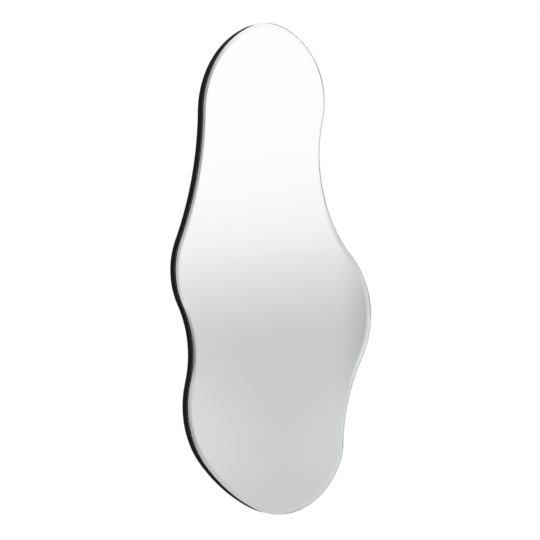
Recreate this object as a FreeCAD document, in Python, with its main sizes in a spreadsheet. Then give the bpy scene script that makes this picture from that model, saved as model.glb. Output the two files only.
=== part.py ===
import FreeCAD, Part
import math
import os
import Sketcher

# Frameless wall mirror with an irregular, pebble-like outline.
#
# Row frame, millimetres: +X to the right as seen from the front, +Z up, the glass faces -Y and
# the wall is the plane Y = 0. The origin lies on the wall, midway between the two hanging points,
# at the height of the two wall hooks that carry the rings.
#
# Every flat sheet of the mirror has the same outline. It is drawn from the middle of the mirror,
# as large round lobes that concave or flat arcs join, all tangent to one another.

SIZES = {
    # outline: the lobes, clockwise from the top, each a circle
    "crown_top": 550.0,
    "crown_x": 0.5,
    "crown_radius": 121.5,
    "temple_radius": 168.0,
    "temple_angle": 74.5,
    "right_belly_reach": 294.5,
    "right_belly_drop": 108.0,
    "right_belly_radius": 196.0,
    "toe_radius": 101.0,
    "toe_drop_angle": 26.0,
    "foot_bottom": 550.0,
    "foot_x": 41.5,
    "foot_radius": 177.0,
    "heel_left": 12.5,
    "heel_drop": 294.0,
    "heel_radius": 204.5,
    "left_belly_reach": 248.0,
    "left_belly_rise": 1.5,
    "left_belly_radius": 167.5,
    "shoulder_radius": 215.0,
    "shoulder_angle": 113.5,
    # outline: the arcs that join the lobes
    "right_neck_radius": 328.0,
    "right_waist_radius": 429.0,
    "sole_radius": 415.0,
    "left_waist_radius": 237.0,
    "left_neck_radius": 768.0,
    # sheets, from the front to the wall
    "glass_thickness": 5.0,
    "bevel_width": 10.0,
    "bevel_depth": 0.9,
    "silvering_thickness": 0.1,
    "film_thickness": 0.2,
    "bond_thickness": 1.0,
    "board_thickness": 18.0,
    "board_front_break": 0.5,
    "board_back_round": 1.5,
    # foam tape strips between the film and the board: how far right of the middle, and how far
    # the ends are from the top and the bottom of the mirror
    "tape_width": 25.0,
    "left_tape_x": -110.0,
    "left_tape_top_inset": 130.0,
    "left_tape_bottom_inset": 190.0,
    "centre_tape_x": -5.0,
    "centre_tape_top_inset": 80.0,
    "centre_tape_bottom_inset": 90.0,
    "right_tape_x": 95.0,
    "right_tape_top_inset": 130.0,
    "right_tape_bottom_inset": 120.0,
    "outer_right_tape_x": 185.0,
    "outer_right_tape_top_inset": 570.0,
    "outer_right_tape_bottom_inset": 170.0,
    # adhesive dabs between the strips, in two columns
    "dab_radius": 20.0,
    "dab_left_x": -57.5,
    "dab_right_x": 45.0,
    "dab_top_inset": 190.0,
    "dab_bottom_inset": 190.0,
    # hanging hardware
    "balance_x": 7.5,
    "hook_height": 340.0,
    "ring_spacing": 200.0,
    "ring_wire": 2.5,
    "ring_width": 26.0,
    "ring_corner_radius": 4.0,
    "ring_leg": 2.0,
    "eye_clearance": 0.3,
    "strap_thickness": 1.0,
    "strap_width": 16.0,
    "strap_length": 52.0,
    "strap_end_radius": 4.0,
    "eye_lip_angle": 20.0,
    "screw_first_drop": 29.0,
    "screw_pitch": 15.0,
    "screw_shank": 3.5,
    "screw_length": 15.0,
    "screw_tip": 3.0,
    "screw_head": 7.0,
    "screw_head_height": 2.2,
    "screw_crown": 4.2,
    "screw_recess_width": 1.0,
    "screw_recess_span": 4.0,
    "screw_recess_depth": 1.2,
    "strap_hole_clearance": 0.4,
    "pilot_clearance": 0.05,
    "pilot_spare_depth": 1.5,
    # wall bumpers
    "bumper_height": 6.0,
    "bumper_base": 20.0,
    "bumper_top": 15.0,
    "bumper_edge_round": 1.5,
    "bumper_upper_left_x": -115.0,
    "bumper_upper_right_x": 95.0,
    "bumper_top_inset": 110.0,
    "bumper_lower_left_x": -120.0,
    "bumper_lower_right_x": 150.0,
    "bumper_bottom_inset": 130.0,
}

TAPES = ("left", "centre", "right", "outer_right")
DAB_COLUMNS = ("left", "right")
DABS_IN_COLUMN = 5
SCREWS_IN_STRAP = 2

# Wall bumpers: name and the expression for the height above the middle.
BUMPERS = (
    ("upper_left", "sizes.crown_top - sizes.bumper_top_inset"),
    ("upper_right", "sizes.crown_top - sizes.bumper_top_inset"),
    ("lower_left", "sizes.bumper_bottom_inset - sizes.foot_bottom"),
    ("lower_right", "sizes.bumper_bottom_inset - sizes.foot_bottom"),
)
SIDES = (("left", -1), ("right", 1))

# How far off a plane, in millimetres, an edge still counts as lying in it.
FLAT = 1e-4

# Positions of the sheets along Y, as expressions: each is the face towards the wall.
BOARD_BACK = "-sizes.bumper_height"
BOND_BACK = BOARD_BACK + " - sizes.board_thickness"
FILM_BACK = BOND_BACK + " - sizes.bond_thickness"
SILVER_BACK = FILM_BACK + " - sizes.film_thickness"
GLASS_BACK = SILVER_BACK + " - sizes.silvering_thickness"

# The middle of the mirror in the row frame.
MIDDLE_X = "-sizes.balance_x"
MIDDLE_Z = "-sizes.hook_height"

# Radius of the eye's outside and bore, and of the half circle at the ring's free end.
EYE_BORE = "(sizes.ring_wire / 2 + sizes.eye_clearance)"
EYE_OUTSIDE = "(sizes.ring_wire / 2 + sizes.eye_clearance + sizes.strap_thickness)"
RING_HALF = "(sizes.ring_width / 2)"

# A ring hangs from its pin. The hook bears on the inside of its free end when it is turned up.
PIN_Y = BOARD_BACK + " + " + EYE_OUTSIDE
PIN_Z = ("-(sizes.ring_corner_radius + sizes.ring_leg + sizes.ring_width / 2"
         " - sizes.ring_wire / 2)")

doc = FreeCAD.newDocument("irregular_mirror")


def make_sheet():
    """Puts every driving size into the sheet, under its own alias."""
    sheet = doc.addObject("Spreadsheet::Sheet", "sizes")
    for row, (alias, value) in enumerate(SIZES.items(), start=1):
        sheet.set("A%d" % row, alias)
        sheet.set("B%d" % row, str(value))
        sheet.setAlias("B%d" % row, alias)
    doc.recompute()
    return sheet


sizes = make_sheet()


def number(expression):
    """The plain number that an expression over the sheet gives."""
    value = sizes.evalExpression(expression)
    return float(getattr(value, "Value", value))


def place(thing, x, y, z):
    """Ties the placement of a sub-part to three expressions."""
    thing.setExpression("Placement.Base.x", x)
    thing.setExpression("Placement.Base.y", y)
    thing.setExpression("Placement.Base.z", z)


def side_x(side):
    """Expression for the X of the left or right hanger."""
    return "%d * sizes.ring_spacing / 2" % side


def screw_drop(step):
    """Expression for how far a strap's screw is below the ring's pin."""
    return "(sizes.screw_first_drop + %d * sizes.screw_pitch)" % step


def make_body(label, x, y, z):
    """An empty body with its own label and placement."""
    body = doc.addObject("PartDesign::Body", label)
    body.Label = label
    place(body, x, y, z)
    return body


def make_sketch(body, name, plane):
    """A sketch on one of the body's own origin planes."""
    sketch = body.newObject("Sketcher::SketchObject", body.Label + "_" + name)
    planes = {feature.Role: feature for feature in body.Origin.OriginFeatures}
    sketch.AttachmentSupport = [(planes[plane], "")]
    sketch.MapMode = "FlatFace"
    return sketch


def dimension(sketch, kind, where, expression):
    """Adds a constraint of this kind and ties its value to the expression."""
    index = sketch.addConstraint(Sketcher.Constraint(kind, *where, number(expression)))
    sketch.setExpression("Constraints[%d]" % index, expression)


def centre_at(sketch, curve, x, y):
    """Ties the centre of a circle or arc to two expressions."""
    dimension(sketch, "DistanceX", (-1, 1, curve, 3), x)
    dimension(sketch, "DistanceY", (-1, 1, curve, 3), y)


def add_circle(sketch, x, y, radius):
    """Adds a circle whose centre and radius three expressions drive."""
    middle = FreeCAD.Vector(number(x), number(y), 0)
    circle = Part.Circle(middle, FreeCAD.Vector(0, 0, 1), number(radius))
    index = sketch.addGeometry(circle)
    centre_at(sketch, index, x, y)
    dimension(sketch, "Radius", (index,), radius)
    return index


def add_arc(sketch, centre, radius, start, end):
    """Adds an arc that runs counter-clockwise from start to end, in radians."""
    middle = FreeCAD.Vector(centre[0], centre[1], 0)
    circle = Part.Circle(middle, FreeCAD.Vector(0, 0, 1), radius)
    return sketch.addGeometry(Part.ArcOfCircle(circle, start, end))


def add_loop(sketch, points):
    """Adds a closed loop of straight lines through the points and joins their ends."""
    lines = []
    for here, there in zip(points, points[1:] + points[:1]):
        segment = Part.LineSegment(FreeCAD.Vector(*here, 0), FreeCAD.Vector(*there, 0))
        lines.append(sketch.addGeometry(segment))
    for line, following in zip(lines, lines[1:] + lines[:1]):
        sketch.addConstraint(Sketcher.Constraint("Coincident", line, 2, following, 1))
    return lines


def pad(body, sketch, length, midplane=False):
    """Pads a sketch. On the XZ plane that is towards the front."""
    feature = body.newObject("PartDesign::Pad", body.Label + "_pad")
    feature.Profile = sketch
    feature.setExpression("Length", length)
    feature.Midplane = midplane
    sketch.Visibility = False
    return feature


def pocket(body, name, sketch, depth):
    """Cuts a sketch on the XZ plane towards the front, and makes sure that it cuts."""
    doc.recompute()
    before = body.Shape.Volume
    feature = body.newObject("PartDesign::Pocket", body.Label + "_" + name)
    feature.Profile = sketch
    feature.Reversed = True
    feature.setExpression("Length", depth)
    doc.recompute()
    if body.Shape.Volume >= before:
        raise RuntimeError("%s cuts nothing" % feature.Name)
    return feature


def edges_at(feature, y):
    """Names of a feature's edges that lie in the plane at this Y, in the body's own frame."""
    names = []
    for index, edge in enumerate(feature.Shape.Edges, start=1):
        box = edge.BoundBox
        if abs(box.YMin - y) < FLAT and abs(box.YMax - y) < FLAT:
            names.append("Edge%d" % index)
    return names


def bridge_centre(first, second, radius):
    """Centre of an arc that joins two round lobes. A negative radius makes it concave."""
    (x1, y1, r1), (x2, y2, r2) = first, second
    reach1 = abs(radius - r1)
    reach2 = abs(radius - r2)
    span = math.hypot(x2 - x1, y2 - y1)
    along = (reach1 ** 2 - reach2 ** 2 + span ** 2) / (2 * span)
    aside = math.sqrt(reach1 ** 2 - along ** 2)
    if radius > 0:
        aside = -aside
    step_x, step_y = (x2 - x1) / span, (y2 - y1) / span
    return (x1 + along * step_x - aside * step_y, y1 + along * step_y + aside * step_x)


def side_centre(lobe, radius, angle):
    """Centre of a flatter or tighter arc that touches a lobe from inside at this angle."""
    x, y, lobe_radius = lobe
    return (x + (lobe_radius - radius) * math.cos(angle),
            y + (lobe_radius - radius) * math.sin(angle))


# Lobe centres as expressions over the sheet: distance right of the middle and height above it.
LOBES = {
    "crown": ("sizes.crown_x", "sizes.crown_top - sizes.crown_radius"),
    "right_belly": ("sizes.right_belly_reach - sizes.right_belly_radius",
                    "-sizes.right_belly_drop"),
    "foot": ("sizes.foot_x", "sizes.foot_radius - sizes.foot_bottom"),
    "heel": ("-sizes.heel_left", "-sizes.heel_drop"),
    "left_belly": ("sizes.left_belly_radius - sizes.left_belly_reach",
                   "sizes.left_belly_rise"),
}

# The arcs beside a lobe: the lobe, the angle of their tangent point on it, and the direction in
# which the centre is dimensioned, which is the one that the angle moves most.
SIDE_ARCS = {
    "shoulder": ("crown", "sizes.shoulder_angle", "DistanceX"),
    "temple": ("crown", "sizes.temple_angle", "DistanceX"),
    "toe": ("foot", "-sizes.toe_drop_angle", "DistanceY"),
}

# The joining arcs: the two arcs that they join, and +1 where convex or -1 where concave.
BRIDGES = {
    "right_neck": ("temple", "right_belly", -1),
    "right_waist": ("right_belly", "toe", -1),
    "sole": ("foot", "heel", 1),
    "left_waist": ("heel", "left_belly", -1),
    "left_neck": ("left_belly", "shoulder", -1),
}

# The whole outline, clockwise as seen from the front.
OUTLINE = ("shoulder", "crown", "temple", "right_neck", "right_belly", "right_waist", "toe",
           "foot", "sole", "heel", "left_waist", "left_belly", "left_neck")


def outline_circles():
    """Centre and signed radius of every arc of the outline, negative where it is concave."""
    circles = {}
    for name, (x, y) in LOBES.items():
        circles[name] = (number(x), number(y), SIZES[name + "_radius"])
    for name, (lobe, angle, _) in SIDE_ARCS.items():
        radius = SIZES[name + "_radius"]
        x, y = side_centre(circles[lobe], radius, math.radians(number(angle)))
        circles[name] = (x, y, radius)
    for name, (first, second, sign) in BRIDGES.items():
        radius = sign * SIZES[name + "_radius"]
        x, y = bridge_centre(circles[first], circles[second], radius)
        circles[name] = (x, y, radius)
    return circles


def tangent_point(first, second):
    """Where two tangent arcs of the outline meet."""
    (x1, y1, r1), (x2, y2, r2) = first, second
    share = r1 / (r2 - r1)
    return (x1 - share * (x2 - x1), y1 - share * (y2 - y1))


def outline_sketch(body):
    """The mirror's outline on the body's XZ plane, fully constrained."""
    sketch = make_sketch(body, "outline", "XZ_Plane")
    circles = outline_circles()
    chain = [circles[name] for name in OUTLINE]
    count = len(OUTLINE)
    joints = [tangent_point(chain[i], chain[(i + 1) % count]) for i in range(count)]
    for index, (x, y, radius) in enumerate(chain):
        arrive = joints[index - 1]
        leave = joints[index]
        start = math.atan2(leave[1] - y, leave[0] - x)
        end = math.atan2(arrive[1] - y, arrive[0] - x)
        if radius < 0:
            start, end = end, start
        add_arc(sketch, (x, y), abs(radius), start, end)
    for index in range(count):
        following = (index + 1) % count
        leaving_end = 1 if chain[index][2] > 0 else 2
        arriving_end = 2 if chain[following][2] > 0 else 1
        sketch.addConstraint(
            Sketcher.Constraint("Tangent", index, leaving_end, following, arriving_end))
    for index, name in enumerate(OUTLINE):
        dimension(sketch, "Radius", (index,), "sizes.%s_radius" % name)
        if name in LOBES:
            centre_at(sketch, index, *LOBES[name])
        if name in SIDE_ARCS:
            lobe, angle, direction = SIDE_ARCS[name]
            turn = "cos" if direction == "DistanceX" else "sin"
            start = LOBES[lobe][0] if direction == "DistanceX" else LOBES[lobe][1]
            offset = "(sizes.%s_radius - sizes.%s_radius) * %s(%s * 1deg)" % (
                lobe, name, turn, angle)
            dimension(sketch, direction, (-1, 1, index, 3), start + " + " + offset)
    return sketch


def make_sheet_body(label, back, thickness):
    """A flat sheet with the mirror's outline, from its wall-side face towards the front."""
    body = make_body(label, MIDDLE_X, back, MIDDLE_Z)
    feature = pad(body, outline_sketch(body), "sizes." + thickness)
    return body, feature


def make_mirror_glass():
    """Clear float glass pane whose front edge has a wide polished bevel."""
    body, sheet = make_sheet_body("mirror_glass", GLASS_BACK, "glass_thickness")
    doc.recompute()
    bevel = body.newObject("PartDesign::Chamfer", "mirror_glass_bevel")
    bevel.Base = (sheet, edges_at(sheet, -SIZES["glass_thickness"]))
    bevel.ChamferType = "Two distances"
    bevel.FlipDirection = True
    bevel.setExpression("Size", "sizes.bevel_width")
    bevel.setExpression("Size2", "sizes.bevel_depth")
    return body


def make_backing_board():
    """Black MDF board, flush with the glass, with pilot holes for the hanger screws."""
    body, sheet = make_sheet_body("backing_board", BOARD_BACK, "board_thickness")
    doc.recompute()
    front = body.newObject("PartDesign::Chamfer", "backing_board_front_break")
    front.Base = (sheet, edges_at(sheet, -SIZES["board_thickness"]))
    front.setExpression("Size", "sizes.board_front_break")
    doc.recompute()
    back = body.newObject("PartDesign::Fillet", "backing_board_back_round")
    back.Base = (front, edges_at(front, 0.0))
    back.setExpression("Radius", "sizes.board_back_round")
    holes = make_sketch(body, "pilot_holes", "XZ_Plane")
    for _, side in SIDES:
        for step in range(SCREWS_IN_STRAP):
            x = side_x(side) + " - (%s)" % MIDDLE_X
            y = "%s - %s - (%s)" % (PIN_Z, screw_drop(step), MIDDLE_Z)
            add_circle(holes, x, y, "sizes.screw_shank / 2 + sizes.pilot_clearance")
    pocket(body, "pilot_cut", holes,
           "sizes.screw_length - sizes.strap_thickness + sizes.pilot_spare_depth")
    return body


def make_tape(name):
    """One vertical strip of double-sided foam tape."""
    body = make_body("bond_tape_" + name, MIDDLE_X, BOND_BACK, MIDDLE_Z)
    sketch = make_sketch(body, "strip", "XZ_Plane")
    middle = "sizes.%s_tape_x" % name
    left, right = middle + " - sizes.tape_width / 2", middle + " + sizes.tape_width / 2"
    low = "sizes.%s_tape_bottom_inset - sizes.foot_bottom" % name
    high = "sizes.crown_top - sizes.%s_tape_top_inset" % name
    corners = [(left, low), (right, low), (right, high), (left, high)]
    lines = add_loop(sketch, [(number(x), number(y)) for x, y in corners])
    for line, kind in zip(lines, ("Horizontal", "Vertical", "Horizontal", "Vertical")):
        sketch.addConstraint(Sketcher.Constraint(kind, line))
    dimension(sketch, "DistanceX", (-1, 1, lines[0], 1), left)
    dimension(sketch, "DistanceX", (-1, 1, lines[0], 2), right)
    dimension(sketch, "DistanceY", (-1, 1, lines[0], 1), low)
    dimension(sketch, "DistanceY", (-1, 1, lines[2], 1), high)
    pad(body, sketch, "sizes.bond_thickness")
    return body


def make_adhesive_dabs():
    """Round dabs of mirror adhesive between the tape strips, pressed to the tape's thickness."""
    body = make_body("adhesive_dabs", MIDDLE_X, BOND_BACK, MIDDLE_Z)
    body.AllowCompound = True
    sketch = make_sketch(body, "dabs", "XZ_Plane")
    top = "sizes.crown_top - sizes.dab_top_inset"
    bottom = "sizes.dab_bottom_inset - sizes.foot_bottom"
    for column in DAB_COLUMNS:
        for step in range(DABS_IN_COLUMN):
            share = "%d / %d" % (step, DABS_IN_COLUMN - 1)
            add_circle(sketch, "sizes.dab_%s_x" % column,
                       "%s - (%s - (%s)) * %s" % (top, top, bottom, share), "sizes.dab_radius")
    pad(body, sketch, "sizes.bond_thickness")
    return body


def make_strap(name, side):
    """Steel strap whose upper end is rolled into an eye round the ring's straight bar."""
    body = make_body("hanger_strap_" + name, side_x(side), PIN_Y, PIN_Z)
    sketch = make_sketch(body, "profile", "YZ_Plane")
    outside = number(EYE_OUTSIDE)
    bore = number(EYE_BORE)
    foot = -SIZES["strap_length"]
    lip = math.radians(-90 - SIZES["eye_lip_angle"])
    outer = add_arc(sketch, (0, 0), outside, lip, math.pi)
    inner = add_arc(sketch, (0, 0), bore, lip, math.pi)
    ends = [
        ((-outside, 0), (-outside, foot)),
        ((-outside, foot), (-bore, foot)),
        ((-bore, foot), (-bore, 0)),
        ((bore * math.cos(lip), bore * math.sin(lip)),
         (outside * math.cos(lip), outside * math.sin(lip))),
    ]
    back, bottom, front, tip = [
        sketch.addGeometry(Part.LineSegment(FreeCAD.Vector(*a, 0), FreeCAD.Vector(*b, 0)))
        for a, b in ends]
    for constraint in (
            Sketcher.Constraint("Coincident", outer, 3, -1, 1),
            Sketcher.Constraint("Coincident", inner, 3, -1, 1),
            Sketcher.Constraint("Tangent", outer, 2, back, 1),
            Sketcher.Constraint("Coincident", back, 2, bottom, 1),
            Sketcher.Constraint("Coincident", bottom, 2, front, 1),
            Sketcher.Constraint("Tangent", front, 2, inner, 2),
            Sketcher.Constraint("Coincident", inner, 1, tip, 1),
            Sketcher.Constraint("Coincident", tip, 2, outer, 1),
            Sketcher.Constraint("Vertical", back),
            Sketcher.Constraint("Vertical", front),
            Sketcher.Constraint("Horizontal", bottom),
            Sketcher.Constraint("PointOnObject", -1, 1, tip)):
        sketch.addConstraint(constraint)
    dimension(sketch, "Radius", (outer,), EYE_OUTSIDE)
    dimension(sketch, "Radius", (inner,), EYE_BORE)
    dimension(sketch, "DistanceY", (bottom, 1, -1, 1), "sizes.strap_length")
    dimension(sketch, "DistanceX", (outer, 1, -1, 1),
              EYE_OUTSIDE + " * sin(sizes.eye_lip_angle * 1deg)")
    strip = pad(body, sketch, "sizes.strap_width", midplane=True)
    doc.recompute()
    corners = []
    for index, edge in enumerate(strip.Shape.Edges, start=1):
        box = edge.BoundBox
        if box.ZMax < foot + FLAT and box.XLength < FLAT:
            corners.append("Edge%d" % index)
    rounded = body.newObject("PartDesign::Fillet", body.Label + "_end_round")
    rounded.Base = (strip, corners)
    rounded.setExpression("Radius", "sizes.strap_end_radius")
    holes = make_sketch(body, "screw_holes", "XZ_Plane")
    for step in range(SCREWS_IN_STRAP):
        add_circle(holes, "0", "-" + screw_drop(step),
                   "sizes.screw_shank / 2 + sizes.strap_hole_clearance")
    pocket(body, "screw_hole_cut", holes, "2 * " + EYE_OUTSIDE)
    return body


def make_ring(name, side):
    """D-shaped wire ring, stored hanging down from its straight bar in the eye."""
    body = make_body("hanging_ring_" + name, side_x(side), PIN_Y, PIN_Z)
    path = make_sketch(body, "path", "XZ_Plane")
    half = number(RING_HALF)
    corner = SIZES["ring_corner_radius"]
    low = -corner - SIZES["ring_leg"]
    bar = path.addGeometry(Part.LineSegment(FreeCAD.Vector(corner - half, 0, 0),
                                            FreeCAD.Vector(half - corner, 0, 0)))
    right_corner = add_arc(path, (half - corner, -corner), corner, 0, math.pi / 2)
    right_leg = path.addGeometry(Part.LineSegment(FreeCAD.Vector(half, -corner, 0),
                                                  FreeCAD.Vector(half, low, 0)))
    bow = add_arc(path, (0, low), half, math.pi, 2 * math.pi)
    left_leg = path.addGeometry(Part.LineSegment(FreeCAD.Vector(-half, low, 0),
                                                 FreeCAD.Vector(-half, -corner, 0)))
    left_corner = add_arc(path, (corner - half, -corner), corner, math.pi / 2, math.pi)
    for first, first_end, second, second_end in (
            (bar, 2, right_corner, 2), (right_corner, 1, right_leg, 1),
            (right_leg, 2, bow, 2), (bow, 1, left_leg, 1),
            (left_leg, 2, left_corner, 2), (left_corner, 1, bar, 1)):
        path.addConstraint(
            Sketcher.Constraint("Tangent", first, first_end, second, second_end))
    path.addConstraint(Sketcher.Constraint("PointOnObject", bar, 1, -1))
    path.addConstraint(Sketcher.Constraint("Horizontal", bar))
    path.addConstraint(Sketcher.Constraint("Vertical", right_leg))
    path.addConstraint(Sketcher.Constraint("Vertical", left_leg))
    path.addConstraint(Sketcher.Constraint("PointOnObject", bow, 3, -2))
    dimension(path, "Radius", (right_corner,), "sizes.ring_corner_radius")
    dimension(path, "Radius", (left_corner,), "sizes.ring_corner_radius")
    dimension(path, "Radius", (bow,), RING_HALF)
    dimension(path, "DistanceY", (right_leg, 2, right_leg, 1), "sizes.ring_leg")
    wire = make_sketch(body, "wire", "YZ_Plane")
    add_circle(wire, "0", "0", "sizes.ring_wire / 2")
    ring = body.newObject("PartDesign::AdditivePipe", body.Label + "_bend")
    ring.Profile = wire
    ring.Spine = (path, [])
    ring.Mode = "Standard"
    return body


def make_screws():
    """Four pan-head wood screws, two through each strap, with cross recesses."""
    top = BOARD_BACK + " + sizes.strap_thickness"
    body = make_body("hanger_screws", side_x(-1), top, PIN_Z + " - sizes.screw_first_drop")
    body.AllowCompound = True
    profile = make_sketch(body, "profile", "YZ_Plane")
    shank = SIZES["screw_shank"] / 2
    head = SIZES["screw_head"] / 2
    crown = SIZES["screw_head_height"]
    point = -SIZES["screw_length"]
    shoulder = point + SIZES["screw_tip"]
    face = SIZES["screw_crown"] / 2
    rim = crown - (head - face)
    axis, flat, side, seat, thread, tip = [
        profile.addGeometry(Part.LineSegment(FreeCAD.Vector(*a, 0), FreeCAD.Vector(*b, 0)))
        for a, b in (((point, 0), (crown, 0)), ((crown, 0), (crown, face)),
                     ((rim, head), (0, head)), ((0, head), (0, shank)),
                     ((0, shank), (shoulder, shank)), ((shoulder, shank), (point, 0)))]
    dome = add_arc(profile, (rim, face), head - face, 0, math.pi / 2)
    for constraint in (
            Sketcher.Constraint("Coincident", axis, 2, flat, 1),
            Sketcher.Constraint("Tangent", flat, 2, dome, 1),
            Sketcher.Constraint("Tangent", dome, 2, side, 1),
            Sketcher.Constraint("Coincident", side, 2, seat, 1),
            Sketcher.Constraint("Coincident", seat, 2, thread, 1),
            Sketcher.Constraint("Coincident", thread, 2, tip, 1),
            Sketcher.Constraint("Coincident", tip, 2, axis, 1),
            Sketcher.Constraint("Horizontal", axis),
            Sketcher.Constraint("Vertical", flat),
            Sketcher.Constraint("Horizontal", side),
            Sketcher.Constraint("Vertical", seat),
            Sketcher.Constraint("Horizontal", thread),
            Sketcher.Constraint("PointOnObject", seat, 1, -2),
            Sketcher.Constraint("PointOnObject", axis, 1, -1)):
        profile.addConstraint(constraint)
    dimension(profile, "DistanceX", (axis, 1, -1, 1), "sizes.screw_length")
    dimension(profile, "DistanceX", (-1, 1, axis, 2), "sizes.screw_head_height")
    dimension(profile, "DistanceY", (-1, 1, flat, 2), "sizes.screw_crown / 2")
    dimension(profile, "DistanceY", (-1, 1, side, 1), "sizes.screw_head / 2")
    dimension(profile, "DistanceY", (-1, 1, thread, 1), "sizes.screw_shank / 2")
    dimension(profile, "DistanceX", (axis, 1, tip, 1), "sizes.screw_tip")
    turned = body.newObject("PartDesign::Revolution", "hanger_screws_turning")
    turned.Profile = profile
    turned.ReferenceAxis = (profile, ["H_Axis"])
    turned.Angle = 360
    doc.recompute()
    cross = make_sketch(body, "cross", "XZ_Plane")
    cross.AttachmentOffset = FreeCAD.Placement(FreeCAD.Vector(0, 0, -crown),
                                               FreeCAD.Rotation())
    cross.setExpression("AttachmentOffset.Base.z", "-sizes.screw_head_height")
    span = SIZES["screw_recess_span"] / 2
    slot = SIZES["screw_recess_width"] / 2
    points = [(-span, -slot), (-slot, -slot), (-slot, -span), (slot, -span), (slot, -slot),
              (span, -slot), (span, slot), (slot, slot), (slot, span), (-slot, span),
              (-slot, slot), (-span, slot)]
    sides = add_loop(cross, points)
    for index, side in enumerate(sides):
        kind = "Horizontal" if index % 2 == 0 else "Vertical"
        cross.addConstraint(Sketcher.Constraint(kind, side))
    reach = {span: "sizes.screw_recess_span / 2", slot: "sizes.screw_recess_width / 2"}
    for side, (x, y) in zip(sides[:12:2], points[::2]):
        for kind, value in (("DistanceX", x), ("DistanceY", y)):
            sign = "" if value > 0 else "-"
            dimension(cross, kind, (-1, 1, side, 1), sign + reach[abs(value)])
    pocket(body, "cross_cut", cross, "sizes.screw_recess_depth")
    recess = body.Tip
    pattern = body.newObject("PartDesign::MultiTransform", "hanger_screws_pattern")
    pattern.Originals = [turned, recess]
    axes = {feature.Role: feature for feature in body.Origin.OriginFeatures}
    steps = []
    for axis, reverse, length, count in (
            ("X_Axis", False, "sizes.ring_spacing", len(SIDES)),
            ("Z_Axis", True, "sizes.screw_pitch * %d" % (SCREWS_IN_STRAP - 1),
             SCREWS_IN_STRAP)):
        step = body.newObject("PartDesign::LinearPattern", "hanger_screws_" + axis[0])
        step.Direction = (axes[axis], [""])
        step.Reversed = reverse
        step.setExpression("Length", length)
        step.Occurrences = count
        steps.append(step)
    pattern.Transformations = steps
    body.Tip = pattern
    return body


def make_bumper(name, height_above):
    """Soft round bumper that keeps the board and the rings off the wall."""
    body = make_body("wall_bumper_" + name, MIDDLE_X + " + sizes.bumper_%s_x" % name,
                     BOARD_BACK, MIDDLE_Z + " + " + height_above)
    profile = make_sketch(body, "profile", "YZ_Plane")
    height = SIZES["bumper_height"]
    base = SIZES["bumper_base"] / 2
    top = SIZES["bumper_top"] / 2
    lines = add_loop(profile, [(0, 0), (height, 0), (height, top), (0, base)])
    profile.addConstraint(Sketcher.Constraint("Coincident", lines[0], 1, -1, 1))
    profile.addConstraint(Sketcher.Constraint("Horizontal", lines[0]))
    profile.addConstraint(Sketcher.Constraint("Vertical", lines[1]))
    profile.addConstraint(Sketcher.Constraint("Vertical", lines[3]))
    dimension(profile, "DistanceX", (lines[0], 1, lines[0], 2), "sizes.bumper_height")
    dimension(profile, "DistanceY", (lines[1], 1, lines[1], 2), "sizes.bumper_top / 2")
    dimension(profile, "DistanceY", (lines[3], 2, lines[3], 1), "sizes.bumper_base / 2")
    turned = body.newObject("PartDesign::Revolution", body.Label + "_turning")
    turned.Profile = profile
    turned.ReferenceAxis = (profile, ["H_Axis"])
    turned.Angle = 360
    doc.recompute()
    rim = body.newObject("PartDesign::Fillet", body.Label + "_rim")
    rim.Base = (turned, edges_at(turned, height))
    rim.setExpression("Radius", "sizes.bumper_edge_round")
    return body


def make_parts():
    """Every sub-part, from the front of the mirror to the wall."""
    parts = [make_mirror_glass()]
    parts.append(make_sheet_body("silvering", SILVER_BACK, "silvering_thickness")[0])
    parts.append(make_sheet_body("safety_film", FILM_BACK, "film_thickness")[0])
    parts += [make_tape(name) for name in TAPES]
    parts.append(make_adhesive_dabs())
    parts.append(make_backing_board())
    for name, side in SIDES:
        parts.append(make_strap(name, side))
        parts.append(make_ring(name, side))
    parts.append(make_screws())
    parts += [make_bumper(*bumper) for bumper in BUMPERS]
    return parts


def check(parts):
    """Stops if anything failed to build."""
    for thing in doc.Objects:
        if "Invalid" in thing.State or "Error" in thing.State:
            raise RuntimeError("%s failed: %s" % (thing.Name, thing.State))
        if thing.TypeId == "Sketcher::SketchObject" and not thing.FullyConstrained:
            raise RuntimeError("%s is not fully constrained" % thing.Name)
    for part in parts:
        if part.Shape.isNull() or not part.Shape.isValid():
            raise RuntimeError("%s has no valid shape" % part.Label)


def export(parts):
    """Writes each sub-part to its own file."""
    os.makedirs("parts", exist_ok=True)
    for part in parts:
        part.Shape.exportStep(os.path.join("parts", part.Label + ".step"))
        print("%-28s %2d solid(s) %14.1f mm3" % (
            part.Label, len(part.Shape.Solids), part.Shape.Volume))


parts = make_parts()
doc.recompute()
check(parts)
export(parts)
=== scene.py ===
import math

import bmesh
import bpy
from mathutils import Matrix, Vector


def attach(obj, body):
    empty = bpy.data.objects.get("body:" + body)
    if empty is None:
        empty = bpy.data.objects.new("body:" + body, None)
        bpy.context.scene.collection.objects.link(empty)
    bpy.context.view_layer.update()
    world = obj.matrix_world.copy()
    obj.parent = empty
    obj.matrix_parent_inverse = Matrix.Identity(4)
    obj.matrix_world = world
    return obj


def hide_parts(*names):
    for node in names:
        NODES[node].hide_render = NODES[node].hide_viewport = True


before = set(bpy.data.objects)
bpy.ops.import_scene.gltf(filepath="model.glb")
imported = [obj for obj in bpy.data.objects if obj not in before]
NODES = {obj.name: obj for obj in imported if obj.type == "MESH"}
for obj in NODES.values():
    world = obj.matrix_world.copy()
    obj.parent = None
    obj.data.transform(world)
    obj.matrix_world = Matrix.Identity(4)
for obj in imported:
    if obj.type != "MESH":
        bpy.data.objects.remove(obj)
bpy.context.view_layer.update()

MM = 0.001

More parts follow.
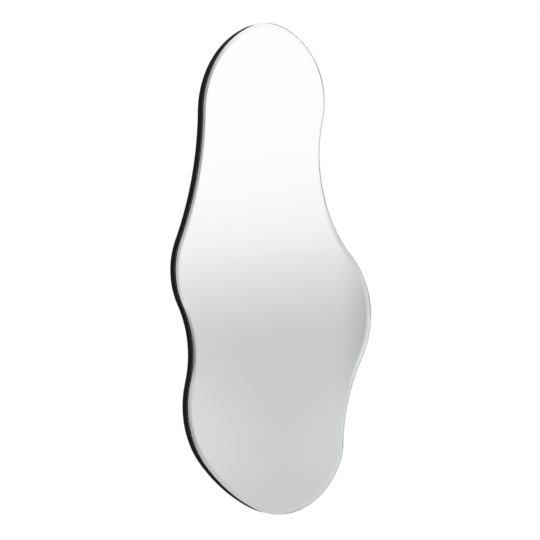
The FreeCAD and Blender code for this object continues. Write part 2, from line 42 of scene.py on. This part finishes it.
# ---------------------------------------------------------------------------
# The mirror's outline, in millimetres from its middle: round lobes and joining arcs.
# ---------------------------------------------------------------------------
BALANCE_X = 7.5
HOOK_HEIGHT = 340.0
CROWN_TOP = 550.0
FOOT_BOTTOM = 550.0

RADIUS = {
    "crown": 121.5, "temple": 168.0, "right_belly": 196.0, "toe": 101.0, "foot": 177.0,
    "heel": 204.5, "left_belly": 167.5, "shoulder": 215.0,
    "right_neck": 328.0, "right_waist": 429.0, "sole": 415.0, "left_waist": 237.0,
    "left_neck": 768.0,
}
LOBE_CENTRE = {
    "crown": (0.5, CROWN_TOP - RADIUS["crown"]),
    "right_belly": (294.5 - RADIUS["right_belly"], -108.0),
    "foot": (41.5, RADIUS["foot"] - FOOT_BOTTOM),
    "heel": (-12.5, -294.0),
    "left_belly": (RADIUS["left_belly"] - 248.0, 1.5),
}
# Arcs that lean on a lobe: the lobe and the angle of their tangent point on it, in degrees.
SIDE_ARCS = {"shoulder": ("crown", 113.5), "temple": ("crown", 74.5), "toe": ("foot", -26.0)}
# Arcs that join two others: +1 where they bulge outwards, -1 where they are hollow.
BRIDGES = {
    "right_neck": ("temple", "right_belly", -1), "right_waist": ("right_belly", "toe", -1),
    "sole": ("foot", "heel", 1), "left_waist": ("heel", "left_belly", -1),
    "left_neck": ("left_belly", "shoulder", -1),
}
# Clockwise as seen from the front.
OUTLINE = ("shoulder", "crown", "temple", "right_neck", "right_belly", "right_waist", "toe",
           "foot", "sole", "heel", "left_waist", "left_belly", "left_neck")
STEP = 2.5

# Depths of the sheets along Y, from the wall.
GLASS_FRONT = -30.3
GLASS_BACK = -25.3
SILVER_FRONT = -25.25
SILVER_BACK = -25.2
FILM_BACK = -25.0
BOARD_FRONT = -24.0
BOARD_BACK = -6.0

# How the edges of the sheets are worked.
BEVEL_WIDTH = 10.0
BEVEL_DEPTH = 0.9
ARRIS = 0.25
SILVER_INSET = 0.3
BOARD_BREAK = 0.5
BOARD_ROUND = 1.5
ROUND_STEPS = 6


def side_centre(lobe, radius, angle):
    """Centre of an arc that touches a lobe from inside at this angle."""
    x, z, lobe_radius = lobe
    turn = math.radians(angle)
    return (x + (lobe_radius - radius) * math.cos(turn),
            z + (lobe_radius - radius) * math.sin(turn))


def bridge_centre(first, second, radius):
    """Centre of an arc that is tangent to two others. A negative radius is hollow."""
    (x1, z1, r1), (x2, z2, r2) = first, second
    reach1, reach2 = abs(radius - r1), abs(radius - r2)
    span = math.hypot(x2 - x1, z2 - z1)
    along = (reach1 ** 2 - reach2 ** 2 + span ** 2) / (2 * span)
    aside = math.copysign(math.sqrt(reach1 ** 2 - along ** 2), -radius)
    step_x, step_z = (x2 - x1) / span, (z2 - z1) / span
    return (x1 + along * step_x - aside * step_z, z1 + along * step_z + aside * step_x)


def outline_circles():
    """Centre and signed radius of each arc, in the order of the outline."""
    circles = {name: (x, z, RADIUS[name]) for name, (x, z) in LOBE_CENTRE.items()}
    for name, (lobe, angle) in SIDE_ARCS.items():
        circles[name] = side_centre(circles[lobe], RADIUS[name], angle) + (RADIUS[name],)
    for name, (first, second, sign) in BRIDGES.items():
        radius = sign * RADIUS[name]
        circles[name] = bridge_centre(circles[first], circles[second], radius) + (radius,)
    return [circles[name] for name in OUTLINE]


def tangent_point(first, second):
    """Where two neighbouring arcs meet."""
    (x1, z1, r1), (x2, z2, r2) = first, second
    share = r1 / (r2 - r1)
    return (x1 - share * (x2 - x1), z1 - share * (z2 - z1))


def outline_points(inset):
    """Points round the outline, moved inwards by the inset, clockwise from the front."""
    chain = outline_circles()
    points = []
    for index, (x, z, radius) in enumerate(chain):
        arrive = tangent_point(chain[index - 1], chain[index])
        leave = tangent_point(chain[index], chain[(index + 1) % len(chain)])
        start = math.atan2(arrive[1] - z, arrive[0] - x)
        turn = math.atan2(leave[1] - z, leave[0] - x) - start
        turn = -(-turn % math.tau) if radius > 0 else turn % math.tau
        steps = max(4, math.ceil(abs(turn * radius) / STEP))
        reach = abs(radius) - math.copysign(inset, radius)
        for step in range(steps):
            angle = start + turn * step / steps
            points.append((x + reach * math.cos(angle), z + reach * math.sin(angle)))
    return points


def sheet_mesh(name, rings, soft=()):
    """A closed sheet lofted through (depth, inset) rings from the wall side to the front.

    The rings are sharp, apart from the soft ones, which are given by their number.
    """
    mesh = bpy.data.meshes.new(name)
    bm = bmesh.new()
    loops = []
    for depth, inset in rings:
        loops.append([
            bm.verts.new(((x - BALANCE_X) * MM, depth * MM, (z - HOOK_HEIGHT) * MM))
            for x, z in outline_points(inset)])
    bm.faces.new(loops[0])
    bm.faces.new(list(reversed(loops[-1])))
    for lower, upper in zip(loops, loops[1:]):
        for i in range(len(lower)):
            j = (i + 1) % len(lower)
            bm.faces.new((lower[i], upper[i], upper[j], lower[j]))
    for number, loop in enumerate(loops):
        for first, second in zip(loop, loop[1:] + loop[:1]):
            bm.edges.get((first, second)).smooth = number in soft
    for face in bm.faces:
        face.smooth = True
    bmesh.ops.recalc_face_normals(bm, faces=bm.faces)
    bmesh.ops.triangulate(bm, faces=[f for f in bm.faces if len(f.verts) > 4])
    bm.to_mesh(mesh)
    bm.free()
    thing = bpy.data.objects.new(name, mesh)
    bpy.context.scene.collection.objects.link(thing)
    return thing


# ---------------------------------------------------------------------------
# Materials
# ---------------------------------------------------------------------------
class Nodes:
    """Short ways to add nodes to a node tree."""

    def __init__(self, tree):
        self.tree = tree

    def feed(self, socket, value):
        """Links or sets an input."""
        if isinstance(value, bpy.types.NodeSocket):
            self.tree.links.new(value, socket)
        else:
            socket.default_value = value

    def add(self, kind, settings=None, **inputs):
        """Adds a node. Inputs go by name, or by place as _0, _1 and so on."""
        node = self.tree.nodes.new("ShaderNode" + kind)
        for key, value in (settings or {}).items():
            setattr(node, key, value)
        for key, value in inputs.items():
            self.feed(node.inputs[int(key[1:])] if key[0] == "_" else node.inputs[key], value)
        return node

    def math(self, operation, first, second=0.0):
        return self.add("Math", {"operation": operation}, _0=first, _1=second).outputs[0]

    def dot(self, vector, other):
        return self.add("VectorMath", {"operation": "DOT_PRODUCT"}, _0=vector,
                        _1=other).outputs["Value"]

    def between(self, value, low, high, start=0.3, end=0.7, kind="LINEAR"):
        """Maps a value from start..end to low..high."""
        return self.add("MapRange", {"interpolation_type": kind}, _0=value, _1=start, _2=end,
                        _3=low, _4=high).outputs[0]

    def smooth(self, value, low, high, start, end):
        """The same with a smooth start and end."""
        return self.between(value, low, high, start, end, "SMOOTHSTEP")

    def blend(self, factor, first, second):
        """Mixes two colours by the factor."""
        mix = self.add("Mix", {"data_type": "RGBA"}, _0=factor)
        self.feed(mix.inputs[6], first)
        self.feed(mix.inputs[7], second)
        return mix.outputs[2]

    def pick(self, factor, first, second):
        """Mixes two numbers by the factor."""
        return self.add("Mix", {"data_type": "FLOAT"}, _0=factor, _2=first,
                        _3=second).outputs[0]


class Shader(Nodes):
    """A node-based material with its Principled shader."""

    def __init__(self, name, **sockets):
        self.material = bpy.data.materials.new(name)
        self.material.use_nodes = True
        super().__init__(self.material.node_tree)
        self.principled = self.tree.nodes["Principled BSDF"]
        self.output = self.tree.nodes["Material Output"]
        self.coordinates = self.tree.nodes.new("ShaderNodeTexCoord")
        for socket, value in sockets.items():
            self.principled.inputs[socket.replace("_", " ")].default_value = value

    def link(self, output, socket):
        self.tree.links.new(output, self.principled.inputs[socket])

    def place(self, stretch=(1, 1, 1)):
        """Object coordinates in metres, stretched along each axis."""
        return self.add("Mapping", Vector=self.coordinates.outputs["Object"],
                        Scale=stretch).outputs[0]

    def noise(self, scale, detail=3.0, roughness=0.5, stretch=(1, 1, 1)):
        """Smooth noise from 0 to 1. The scale is in cells per metre."""
        return self.add("TexNoise", Vector=self.place(stretch), Scale=scale, Detail=detail,
                        Roughness=roughness).outputs["Fac"]

    def bump(self, height, strength, distance):
        """Bump from a height, in metres, as the shader's normal."""
        node = self.add("Bump", Height=height, Strength=strength, Distance=distance)
        self.link(node.outputs[0], "Normal")

    def rim(self):
        """1 on faces that look sideways, 0 on faces that look to the front or the wall."""
        split = self.add("SeparateXYZ", Vector=self.coordinates.outputs["Normal"])
        return self.between(self.math("ABSOLUTE", split.outputs[1]), 1.0, 0.0, 0.25, 0.55)


def glass_material():
    """Clear float glass, faintly green where the light goes a long way through it."""
    glass = Shader("float_glass", Transmission_Weight=1.0, IOR=1.52, Roughness=0.0)
    rim = glass.rim()
    glass.link(glass.blend(rim, (1, 1, 1, 1), (0.70, 0.93, 0.79, 1)), "Base Color")
    haze = glass.between(glass.noise(14.0, 5.0), 0.0, 0.006, 0.45, 0.75)
    ground = glass.between(glass.noise(260.0, 3.0, stretch=(1, 4, 1)), 0.05, 0.16)
    glass.link(glass.pick(rim, haze, ground), "Roughness")
    ripple = glass.math("MULTIPLY", glass.noise(90.0, 2.0), rim)
    glass.bump(ripple, 0.25, 0.0004)
    tint = glass.add("VolumeAbsorption")
    tint.inputs["Color"].default_value = (0.42, 0.80, 0.50, 1)
    tint.inputs["Density"].default_value = 7.0
    glass.tree.links.new(tint.outputs[0], glass.output.inputs["Volume"])
    return glass.material


def silver_material():
    """Silver coat: a clean mirror to the front, grey protective paint on its back and edge."""
    silver = Shader("silver_coat", Metallic=1.0, Roughness=0.0)
    split = silver.add("SeparateXYZ", Vector=silver.coordinates.outputs["Normal"])
    front = silver.between(split.outputs[1], 1.0, 0.0, -0.9, -0.5)
    faint = silver.blend(silver.noise(3.0, 2.0), (0.965, 0.970, 0.960, 1), (0.975, 0.980, 0.970, 1))
    paint = silver.blend(silver.noise(300.0, 4.0), (0.16, 0.165, 0.17, 1), (0.21, 0.215, 0.22, 1))
    silver.link(silver.blend(front, paint, faint), "Base Color")
    silver.link(front, "Metallic")
    silver.link(silver.between(front, 0.6, 0.0, 0.0, 1.0), "Roughness")
    return silver.material


def film_material():
    """Pale safety film with a woven reinforcement, and painted shade on its thin edge."""
    film = Shader("safety_film_weave")
    warp = film.add("TexWave", {"bands_direction": "X"}, Vector=film.place(), Scale=180.0,
                    Distortion=0.4).outputs["Fac"]
    weft = film.add("TexWave", {"bands_direction": "Z"}, Vector=film.place(), Scale=180.0,
                    Distortion=0.4).outputs["Fac"]
    weave = film.math("MAXIMUM", warp, weft)
    face = film.blend(weave, (0.40, 0.42, 0.43, 1), (0.56, 0.58, 0.59, 1))
    # Painted shade: the thin edge is far darker than the face, for the shade in the gap between the
    # glass and the board.
    edge = film.blend(weave, (0.07, 0.07, 0.07, 1), (0.10, 0.10, 0.10, 1))
    film.link(film.blend(film.rim(), face, edge), "Base Color")
    film.link(film.between(weave, 0.65, 0.42, 0.0, 1.0), "Roughness")
    film.bump(weave, 0.4, 0.0001)
    return film.material


def foam_material():
    """Black closed-cell foam tape."""
    foam = Shader("foam_tape_cells")
    cells = foam.add("TexVoronoi", Vector=foam.place(), Scale=2600.0).outputs["Distance"]
    foam.link(foam.blend(cells, (0.012, 0.012, 0.013, 1), (0.045, 0.045, 0.048, 1)), "Base Color")
    foam.link(foam.between(cells, 0.95, 0.75, 0.0, 0.7), "Roughness")
    foam.bump(cells, 0.6, 0.0002)
    return foam.material


def adhesive_material():
    """Cured neutral silicone that was squeezed flat."""
    silicone = Shader("mirror_adhesive_cured")
    swirl = silicone.noise(60.0, 4.0)
    silicone.link(silicone.blend(swirl, (0.52, 0.52, 0.49, 1), (0.70, 0.70, 0.66, 1)), "Base Color")
    silicone.link(silicone.between(swirl, 0.30, 0.48), "Roughness")
    silicone.bump(swirl, 0.5, 0.0004)
    return silicone.material


def board_material():
    """Satin black paint on fibreboard: sprayed faces, a sanded and painted edge. The lighter black
    of the faces is painted sheen, and the darker black of the edge is painted shade.
    """
    board = Shader("black_board_paint", Specular_IOR_Level=0.07)
    rim = board.rim()
    cloud = board.noise(9.0, 4.0)
    # Painted sheen: the faces get a lighter black than the edge, standing in for their gloss.
    face = board.blend(cloud, (0.0125, 0.0125, 0.0135, 1), (0.0195, 0.0195, 0.0210, 1))
    # Painted shade: the edge gets a darker black than the faces.
    edge = board.blend(board.noise(45.0, 4.0, stretch=(1, 6, 1)),
                       (0.0065, 0.0064, 0.0072, 1), (0.0105, 0.0104, 0.0116, 1))
    board.link(board.blend(rim, face, edge), "Base Color")
    board.link(board.between(board.noise(120.0, 3.0), 0.44, 0.58), "Roughness")
    spray = board.noise(1500.0, 2.0)
    fibre = board.math("MULTIPLY", board.noise(700.0, 4.0, stretch=(1, 6, 1)), 0.5)
    board.bump(board.pick(rim, spray, fibre), 0.22, 0.00025)
    return board.material


def zinc_material(name, light, dark, low, high, stretch):
    """Plated steel with spangles in its tone and drawing marks in its gloss."""
    zinc = Shader(name, Metallic=1.0)
    flakes = zinc.add("TexVoronoi", {"feature": "F1"}, Vector=zinc.place(), Scale=750.0)
    tone = zinc.add("SeparateColor", Color=flakes.outputs["Color"]).outputs[0]
    cloud = zinc.noise(130.0, 4.0)
    mixed = zinc.math("ADD", zinc.math("MULTIPLY", tone, 0.45),
                      zinc.math("MULTIPLY", cloud, 0.55))
    zinc.link(zinc.blend(mixed, dark, light), "Base Color")
    marks = zinc.noise(900.0, 3.0, stretch=stretch)
    zinc.link(zinc.between(marks, low, high), "Roughness")
    zinc.bump(marks, 0.18, 0.00008)
    return zinc.material


def bumper_material():
    """Milky translucent silicone."""
    soft = Shader("silicone_bumper", Transmission_Weight=0.45, Subsurface_Weight=0.6,
                  Subsurface_Scale=0.004, Subsurface_Radius=(1.0, 1.0, 1.0), IOR=1.41)
    haze = soft.noise(500.0, 3.0)
    soft.link(soft.blend(haze, (0.84, 0.86, 0.87, 1), (0.93, 0.94, 0.94, 1)), "Base Color")
    soft.link(soft.between(haze, 0.30, 0.42), "Roughness")
    soft.bump(haze, 0.2, 0.0001)
    return soft.material


def paint_node(names, material):
    """Gives CAD nodes this material."""
    for name in names:
        mesh = NODES[name].data
        mesh.materials.clear()
        mesh.materials.append(material)


# ---------------------------------------------------------------------------
# The mirror
# ---------------------------------------------------------------------------
def glass_rings():
    """The pane's edge: a fine arris on both sides of a flat edge, and the bevel."""
    bevel_start = GLASS_FRONT + BEVEL_DEPTH
    return ((GLASS_BACK, ARRIS),
            (GLASS_BACK - ARRIS, 0.0),
            (bevel_start + ARRIS, 0.0),
            (bevel_start - ARRIS * BEVEL_DEPTH / BEVEL_WIDTH, ARRIS),
            (GLASS_FRONT, BEVEL_WIDTH))


def board_rings():
    """The board's edge: rounded to the wall, with a small break to the front."""
    rings = []
    for step in range(ROUND_STEPS + 1):
        turn = math.pi / 2 * step / ROUND_STEPS
        rings.append((BOARD_BACK - BOARD_ROUND * (1 - math.cos(turn)),
                      BOARD_ROUND * (1 - math.sin(turn))))
    return rings + [(BOARD_FRONT + BOARD_BREAK, 0.0), (BOARD_FRONT, BOARD_BREAK)]


def replace_sheet(sheet, node, material):
    """Puts a finer sheet in the place of a CAD node of the mirror."""
    sheet.data.materials.append(material)
    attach(sheet, "mirror")
    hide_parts(node)


replace_sheet(sheet_mesh("mirror_glass_pane", glass_rings()),
              "mirror_glass", glass_material())
replace_sheet(sheet_mesh("mirror_silver_coat", ((SILVER_BACK, SILVER_INSET),
                                                (SILVER_FRONT, SILVER_INSET))),
              "silvering", silver_material())
replace_sheet(sheet_mesh("mirror_safety_film", ((FILM_BACK, 0.0), (SILVER_BACK, 0.0))),
              "safety_film", film_material())
replace_sheet(sheet_mesh("mirror_black_board", board_rings(), soft=range(ROUND_STEPS + 1)),
              "backing_board", board_material())

paint_node([name for name in NODES if name.startswith("bond_tape")], foam_material())
paint_node(["adhesive_dabs"], adhesive_material())
strap_zinc = zinc_material("zinc_strap", (0.84, 0.85, 0.87, 1), (0.62, 0.63, 0.66, 1),
                           0.26, 0.42, (1.0, 1.0, 0.08))
screw_zinc = zinc_material("zinc_screw", (0.80, 0.81, 0.82, 1), (0.58, 0.59, 0.61, 1),
                           0.22, 0.36, (1.0, 1.0, 1.0))
ring_nickel = zinc_material("nickel_wire", (0.76, 0.75, 0.73, 1), (0.60, 0.59, 0.57, 1),
                            0.14, 0.26, (1.0, 1.0, 0.3))
paint_node(["hanger_strap_left", "hanger_strap_right"], strap_zinc)
paint_node(["hanger_screws"], screw_zinc)
paint_node(["hanging_ring_left", "hanging_ring_right"], ring_nickel)
paint_node([name for name in NODES if name.startswith("wall_bumper")], bumper_material())

# ---------------------------------------------------------------------------
# Studio: floor, light and camera
# ---------------------------------------------------------------------------
CAMERA_AZIMUTH = math.radians(-36.0)
CAMERA_ELEVATION = math.radians(0.5)
CAMERA_DISTANCE = 3.347
CAMERA_TARGET = Vector((-0.0075, -0.0303, -0.34))
CAMERA_LENS = 100.0
CAMERA_SENSOR = 36.0

# The floor is even up to one radius, and fades out completely at the other.
FLOOR_HEIGHT = -1.84
FLOOR_PLAIN = 2.4
FLOOR_END = 4.4
FLOOR_SIDES = 96
FLOOR_TONE = 0.84
FLOOR_LIFT = 0.12

# Each lamp's name, place in metres and power in watts.
LAMPS = (("key_lamp", (-2.6, -3.2, 2.6), 95.0),
         ("fill_lamp", (3.2, -2.4, 1.6), 45.0),
         ("back_lamp", (1.6, 3.4, 2.4), 70.0))
LAMP_SIZE = 2.4


def linear(level):
    """Linear value of an 8-bit display level."""
    share = level / 255
    return share / 12.92 if share <= 0.04045 else ((share + 0.055) / 1.055) ** 2.4


def make_floor():
    """Pale round floor well below the mirror that fades out into the background.

    It keeps the shadow, can be looked through from below, and isn't mirrored.
    """
    bm = bmesh.new()
    bmesh.ops.create_circle(bm, cap_ends=True, segments=FLOOR_SIDES, radius=FLOOR_END)
    mesh = bpy.data.meshes.new("studio_floor")
    bm.to_mesh(mesh)
    bm.free()
    floor = bpy.data.objects.new("studio_floor", mesh)
    floor.location = (0, 0, FLOOR_HEIGHT)
    bpy.context.scene.collection.objects.link(floor)
    pale = Shader("pale_floor", Roughness=0.9)
    pale.principled.inputs["Base Color"].default_value = (FLOOR_TONE, FLOOR_TONE, FLOOR_TONE, 1)
    path = pale.add("LightPath")
    lift = pale.math("MULTIPLY", path.outputs["Is Camera Ray"], FLOOR_LIFT)
    pale.principled.inputs["Emission Color"].default_value = (1, 1, 1, 1)
    pale.link(lift, "Emission Strength")
    away = pale.add("VectorMath", {"operation": "LENGTH"},
                    Vector=pale.coordinates.outputs["Object"])
    solid = pale.smooth(away.outputs["Value"], 1.0, 0.0, FLOOR_PLAIN, FLOOR_END)
    above = pale.math("SUBTRACT", 1.0, pale.add("NewGeometry").outputs["Backfacing"])
    pale.link(pale.math("MULTIPLY", solid, above), "Alpha")
    mesh.materials.append(pale.material)
    floor.visible_glossy = False


# ---------------------------------------------------------------------------
# What the mirror sees. All angles are in degrees: heights are those of the sight line above
# the horizon, and sides are measured to the right of the mirrored camera.
# ---------------------------------------------------------------------------
LOOK = Vector((-math.sin(CAMERA_AZIMUTH), -math.cos(CAMERA_AZIMUTH), 0))
ASIDE = Vector((math.cos(CAMERA_AZIMUTH), -math.sin(CAMERA_AZIMUTH), 0))

# A soft studio gradient, as a grey level at a few heights. It gets darker below the horizon,
# and a little lighter again towards the floor.
REFLECTED = ((-14, 196), (-8, 206), (-4, 203), (-2, 213), (0.3, 237), (2.6, 250), (8, 254))
# The share of the light that comes back out of the glass.
MIRROR_PASSES = 0.956
# A ramp's stops are clipped at 1, so they are kept at a smaller scale.
RAMP_SCALE = 2.0
# The gradient leans by this much for each step to the side, up to the limit.
GRADIENT_LEAN = 0.15
LEAN_LIMIT = 0.21
# Higher up there is a little more red and blue, which makes up for the green of the glass.
WARM = 1.034
WARM_FROM, WARM_TO = -1.8, 1.8

# A dark upright band to the side, which the left bevel shows: its strength, where it starts
# and ends to the side, and where it starts and ends in height.
BAND = 0.68
BAND_SIDES = (2.4, 5.6, 7.5, 16.0)
BAND_HEIGHTS = (-13.0, -7.5, 8.0, 14.0)

# Soft light patches: to the side, height, size, and strength.
PATCHES = ((-4.2, -6.6, 5.0, 0.13), (3.5, -6.8, 3.3, 0.05), (5.3, -6.7, 2.4, 0.30),
           (88.0, -15.0, 24.0, 1.6), (144.0, -9.0, 24.0, 1.6))

# The studio is dimmer where surfaces look past the mirror towards the wall, between these
# steps along Y, and away from the mirrored camera.
BEHIND_DIM = 0.34
BEHIND_FROM, BEHIND_TO = -0.1, 0.6
AROUND_DIM = 0.74
AROUND_FROM, AROUND_TO = 12.0, 24.0

# The light for all other surfaces, and the background that the camera sees.
EVEN_LIGHT = (0.62, 0.62, 0.62, 1)
WHITE = (1, 1, 1, 1)


def sine(degrees):
    return math.sin(math.radians(degrees))


def reflected_gradient(sky, height, side):
    """The studio's tone by height, which leans a little to the side."""
    lowest, highest = sine(REFLECTED[0][0]), sine(REFLECTED[-1][0])
    lean = sky.between(side, LEAN_LIMIT * GRADIENT_LEAN, -LEAN_LIMIT * GRADIENT_LEAN,
                       -LEAN_LIMIT, LEAN_LIMIT)
    ramp = sky.add("ValToRGB",
                   Fac=sky.between(sky.math("ADD", height, lean), 0.0, 1.0, lowest, highest))
    ramp.color_ramp.interpolation = "CARDINAL"
    stops = ramp.color_ramp.elements
    stops.remove(stops[1])
    for number, (degrees, level) in enumerate(REFLECTED):
        share = (sine(degrees) - lowest) / (highest - lowest)
        stop = stops.new(share) if number else stops[0]
        value = linear(level) / RAMP_SCALE
        stop.color = (value, value, value, 1)
    return sky.math("MULTIPLY", ramp.outputs[0], RAMP_SCALE / MIRROR_PASSES)


def plateau(sky, value, limits, strength=1.0):
    """Rises smoothly to the strength between two angles, and falls again between two more."""
    rise_from, rise_to, fall_from, fall_to = map(sine, limits)
    return sky.math("MULTIPLY", sky.smooth(value, 0.0, strength, rise_from, rise_to),
                    sky.smooth(value, 1.0, 0.0, fall_from, fall_to))


def light_patch(sky, direction, side, height, size, strength):
    """A round soft light in the studio."""
    side, height, size = math.radians(side), math.radians(height), math.radians(size)
    centre = (LOOK * math.cos(side) + ASIDE * math.sin(side)) * math.cos(height)
    centre.z = math.sin(height)
    away = sky.add("VectorMath", {"operation": "DISTANCE"}, _0=direction, _1=centre)
    return sky.smooth(away.outputs["Value"], strength, 0.0, 0.0, size)


def make_world():
    """Even white light for surfaces, and a soft studio for what mirrors."""
    world = bpy.data.worlds.new("studio")
    bpy.context.scene.world = world
    world.use_nodes = True
    sky = Nodes(world.node_tree)
    direction = sky.add("TexCoord").outputs["Generated"]
    _, along_y, height = sky.add("SeparateXYZ", Vector=direction).outputs
    side = sky.dot(direction, ASIDE)

    band = sky.math("MULTIPLY", plateau(sky, side, BAND_SIDES, BAND),
                    plateau(sky, height, BAND_HEIGHTS))
    tone = sky.math("MULTIPLY", reflected_gradient(sky, height, side),
                    sky.math("SUBTRACT", 1.0, band))
    for patch in PATCHES:
        tone = sky.math("ADD", tone, light_patch(sky, direction, *patch))
    behind = sky.smooth(along_y, 1.0, BEHIND_DIM, BEHIND_FROM, BEHIND_TO)
    around = sky.smooth(sky.dot(direction, LOOK), AROUND_DIM, 1.0,
                        math.cos(math.radians(AROUND_TO)), math.cos(math.radians(AROUND_FROM)))
    tone = sky.math("MULTIPLY", sky.math("MULTIPLY", tone, behind), around)
    warm = sky.math("MULTIPLY", tone,
                    sky.smooth(height, 1.0, WARM, sine(WARM_FROM), sine(WARM_TO)))
    mirrored = sky.add("CombineColor", Red=warm, Green=tone, Blue=warm).outputs[0]

    path = sky.add("LightPath")
    by_mirrors = sky.math("MAXIMUM", path.outputs["Is Glossy Ray"],
                          path.outputs["Is Transmission Ray"])
    lit = sky.blend(by_mirrors, EVEN_LIGHT, mirrored)
    shown = sky.blend(path.outputs["Is Camera Ray"], lit, WHITE)
    sky.tree.links.new(shown, sky.tree.nodes["Background"].inputs["Color"])


# ---------------------------------------------------------------------------
# Lamps and camera
# ---------------------------------------------------------------------------
def make_lamp(name, place, power):
    """A large soft lamp, aimed at the middle of the mirror and hidden from reflections."""
    data = bpy.data.lights.new(name, "AREA")
    data.size = LAMP_SIZE
    data.energy = power
    lamp = bpy.data.objects.new(name, data)
    lamp.location = place
    lamp.rotation_euler = (CAMERA_TARGET - Vector(place)).to_track_quat("-Z", "Y").to_euler()
    lamp.visible_glossy = False
    lamp.visible_transmission = False
    lamp.visible_camera = False
    bpy.context.scene.collection.objects.link(lamp)


def make_camera():
    """Camera at the photograph's viewing angle."""
    data = bpy.data.cameras.new("photo_camera")
    data.lens = CAMERA_LENS
    data.sensor_width = CAMERA_SENSOR
    camera = bpy.data.objects.new("photo_camera", data)
    back = Vector((math.sin(CAMERA_AZIMUTH) * math.cos(CAMERA_ELEVATION),
                   -math.cos(CAMERA_AZIMUTH) * math.cos(CAMERA_ELEVATION),
                   math.sin(CAMERA_ELEVATION)))
    camera.location = CAMERA_TARGET + back * CAMERA_DISTANCE
    camera.rotation_euler = (-back).to_track_quat("-Z", "Y").to_euler()
    bpy.context.scene.collection.objects.link(camera)
    bpy.context.scene.camera = camera


make_floor()
make_world()
for lamp_name, lamp_place, lamp_power in LAMPS:
    make_lamp(lamp_name, lamp_place, lamp_power)
make_camera()

bpy.context.scene.view_settings.view_transform = "Standard"
